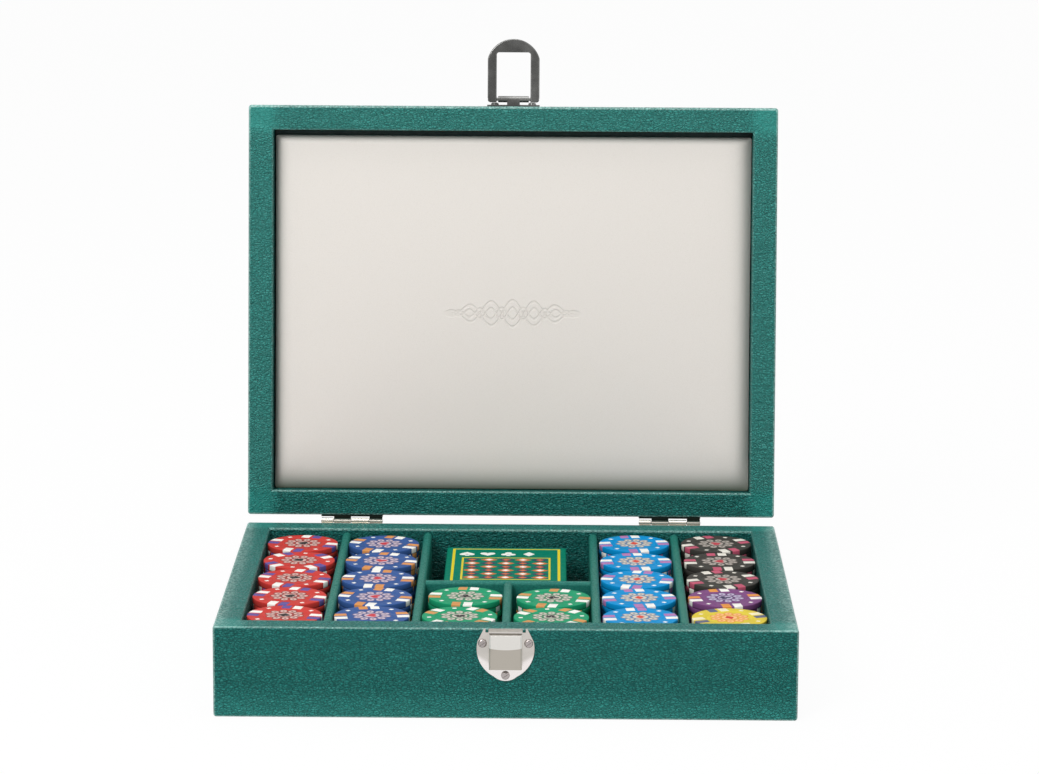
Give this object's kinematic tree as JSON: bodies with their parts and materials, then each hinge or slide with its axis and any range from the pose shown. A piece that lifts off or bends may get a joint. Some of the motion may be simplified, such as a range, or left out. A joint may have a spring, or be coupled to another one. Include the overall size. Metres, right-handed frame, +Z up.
{
  "type": "leather poker case",
  "caption": "Leather-covered games case with a hinged padded lid, a hasp and catch, divider tray, lift-out chip stacks and boxed card packs.",
  "frame": {"origin": "middle of the underside of the base, in the plane that it stands on", "axes": "+X to the right, +Y to the hinges at the back, +Z up"},
  "size_m": [0.3, 0.2973, 0.3199],
  "materials": {
    "leather_green": "pebbled, softly shining",
    "leather_cream": "smooth, matt",
    "board": "plain fibreboard",
    "panel_cloth": "short nap",
    "nickel": "polished nickel plate",
    "spring_steel": "drawn wire",
    "chip_red": "clay composite",
    "chip_blue": "clay composite",
    "chip_green": "clay composite",
    "chip_sky": "clay composite",
    "chip_black": "clay composite",
    "chip_purple": "clay composite",
    "chip_yellow": "clay composite",
    "card_box": "varnished card"
  },
  "bodies": {
    "base": {"base_wall_boards": "board", "base_floor_board": "board", "base_leather_cover": "leather_green", "base_underside_panel": "panel_cloth", "tray_floor_lining": "leather_green", "divider_outer_left": "leather_green", "divider_inner_left": "leather_green", "divider_inner_right": "leather_green", "divider_outer_right": "leather_green", "divider_cross": "leather_green", "divider_short": "leather_green", "hinge_left_base_leaf": "nickel", "hinge_right_base_leaf": "nickel", "hinge_left_pin": "nickel", "hinge_right_pin": "nickel", "hinge_base_screws": "nickel", "lock_plate": "nickel", "catch_spring": "spring_steel", "lock_plate_screws": "nickel"},
    "lid": {"lid_wall_boards": "board", "lid_top_board": "board", "lid_leather_cover": "leather_green", "lid_pad_board": "board", "lid_cushion": "leather_cream", "hinge_left_lid_leaf": "nickel", "hinge_right_lid_leaf": "nickel", "hinge_lid_screws": "nickel", "hasp_leaf": "nickel", "hasp_pin": "nickel", "hasp_leaf_screws": "nickel"},
    "hasp_ring": {"hasp_ring": "nickel"},
    "lock_catch": {"lock_catch": "nickel"},
    "red_stack_1": {"red_stack_1": "chip_red"},
    "red_stack_2": {"red_stack_2": "chip_red"},
    "red_stack_3": {"red_stack_3": "chip_red"},
    "red_stack_4": {"red_stack_4": "chip_red"},
    "red_stack_5": {"red_stack_5": "chip_red"},
    "blue_stack_1": {"blue_stack_1": "chip_blue"},
    "blue_stack_2": {"blue_stack_2": "chip_blue"},
    "blue_stack_3": {"blue_stack_3": "chip_blue"},
    "blue_stack_4": {"blue_stack_4": "chip_blue"},
    "blue_stack_5": {"blue_stack_5": "chip_blue"},
    "green_left_stack_1": {"green_left_stack_1": "chip_green"},
    "green_left_stack_2": {"green_left_stack_2": "chip_green"},
    "green_right_stack_1": {"green_right_stack_1": "chip_green"},
    "green_right_stack_2": {"green_right_stack_2": "chip_green"},
    "sky_stack_1": {"sky_stack_1": "chip_sky"},
    "sky_stack_2": {"sky_stack_2": "chip_sky"},
    "sky_stack_3": {"sky_stack_3": "chip_sky"},
    "sky_stack_4": {"sky_stack_4": "chip_sky"},
    "sky_stack_5": {"sky_stack_5": "chip_sky"},
    "yellow_stack": {"yellow_stack": "chip_yellow"},
    "purple_stack": {"purple_stack": "chip_purple"},
    "black_stack_1": {"black_stack_1": "chip_black"},
    "black_stack_2": {"black_stack_2": "chip_black"},
    "black_stack_3": {"black_stack_3": "chip_black"},
    "card_pack_lower": {"card_pack_lower": "card_box"},
    "card_pack_upper": {"card_pack_upper": "card_box"}
  },
  "joints": [
    {"name": "lid_hinge", "type": "hinge", "parent": "base", "child": "lid", "pos_m": [0, 0.1198, 0.0485], "axis": [-1, 0, 0], "range_deg": [-97.5, 0]},
    {"name": "hasp_hinge", "type": "hinge", "parent": "lid", "child": "hasp_ring", "pos_m": [0, 0.15723, 0.28605], "axis": [-1, 0, 0], "range_deg": [-90, 0]},
    {"name": "catch_slide", "type": "slide", "parent": "base", "child": "lock_catch", "axis": [0, 0, 1], "range_m": [0, 0.0007], "stiffness_N_per_m": 500, "springref_m": -0.002, "deforming": ["catch_spring"]},
    {"name": "lift_red_stack_1", "type": "slide", "parent": "base", "child": "red_stack_1", "axis": [0, 0, 1], "range_m": [0, 0.048]},
    {"name": "lift_red_stack_2", "type": "slide", "parent": "base", "child": "red_stack_2", "axis": [0, 0, 1], "range_m": [0, 0.048]},
    {"name": "lift_red_stack_3", "type": "slide", "parent": "base", "child": "red_stack_3", "axis": [0, 0, 1], "range_m": [0, 0.048]},
    {"name": "lift_red_stack_4", "type": "slide", "parent": "base", "child": "red_stack_4", "axis": [0, 0, 1], "range_m": [0, 0.048]},
    {"name": "lift_red_stack_5", "type": "slide", "parent": "base", "child": "red_stack_5", "axis": [0, 0, 1], "range_m": [0, 0.048]},
    {"name": "lift_blue_stack_1", "type": "slide", "parent": "base", "child": "blue_stack_1", "axis": [0, 0, 1], "range_m": [0, 0.048]},
    {"name": "lift_blue_stack_2", "type": "slide", "parent": "base", "child": "blue_stack_2", "axis": [0, 0, 1], "range_m": [0, 0.048]},
    {"name": "lift_blue_stack_3", "type": "slide", "parent": "base", "child": "blue_stack_3", "axis": [0, 0, 1], "range_m": [0, 0.048]},
    {"name": "lift_blue_stack_4", "type": "slide", "parent": "base", "child": "blue_stack_4", "axis": [0, 0, 1], "range_m": [0, 0.048]},
    {"name": "lift_blue_stack_5", "type": "slide", "parent": "base", "child": "blue_stack_5", "axis": [0, 0, 1], "range_m": [0, 0.048]},
    {"name": "lift_green_left_stack_1", "type": "slide", "parent": "base", "child": "green_left_stack_1", "axis": [0, 0, 1], "range_m": [0, 0.048]},
    {"name": "lift_green_left_stack_2", "type": "slide", "parent": "base", "child": "green_left_stack_2", "axis": [0, 0, 1], "range_m": [0, 0.048]},
    {"name": "lift_green_right_stack_1", "type": "slide", "parent": "base", "child": "green_right_stack_1", "axis": [0, 0, 1], "range_m": [0, 0.048]},
    {"name": "lift_green_right_stack_2", "type": "slide", "parent": "base", "child": "green_right_stack_2", "axis": [0, 0, 1], "range_m": [0, 0.048]},
    {"name": "lift_sky_stack_1", "type": "slide", "parent": "base", "child": "sky_stack_1", "axis": [0, 0, 1], "range_m": [0, 0.048]},
    {"name": "lift_sky_stack_2", "type": "slide", "parent": "base", "child": "sky_stack_2", "axis": [0, 0, 1], "range_m": [0, 0.048]},
    {"name": "lift_sky_stack_3", "type": "slide", "parent": "base", "child": "sky_stack_3", "axis": [0, 0, 1], "range_m": [0, 0.048]},
    {"name": "lift_sky_stack_4", "type": "slide", "parent": "base", "child": "sky_stack_4", "axis": [0, 0, 1], "range_m": [0, 0.048]},
    {"name": "lift_sky_stack_5", "type": "slide", "parent": "base", "child": "sky_stack_5", "axis": [0, 0, 1], "range_m": [0, 0.048]},
    {"name": "lift_yellow_stack", "type": "slide", "parent": "base", "child": "yellow_stack", "axis": [0, 0, 1], "range_m": [0, 0.048]},
    {"name": "lift_purple_stack", "type": "slide", "parent": "base", "child": "purple_stack", "axis": [0, 0, 1], "range_m": [0, 0.048]},
    {"name": "lift_black_stack_1", "type": "slide", "parent": "base", "child": "black_stack_1", "axis": [0, 0, 1], "range_m": [0, 0.048]},
    {"name": "lift_black_stack_2", "type": "slide", "parent": "base", "child": "black_stack_2", "axis": [0, 0, 1], "range_m": [0, 0.048]},
    {"name": "lift_black_stack_3", "type": "slide", "parent": "base", "child": "black_stack_3", "axis": [0, 0, 1], "range_m": [0, 0.048]},
    {"name": "lift_card_pack_lower", "type": "slide", "parent": "base", "child": "card_pack_lower", "axis": [0, 0, 1], "range_m": [0, 0.048]},
    {"name": "lift_card_pack_upper", "type": "slide", "parent": "card_pack_lower", "child": "card_pack_upper", "axis": [0, 0, 1], "range_m": [0, 0.048]}
  ]
}
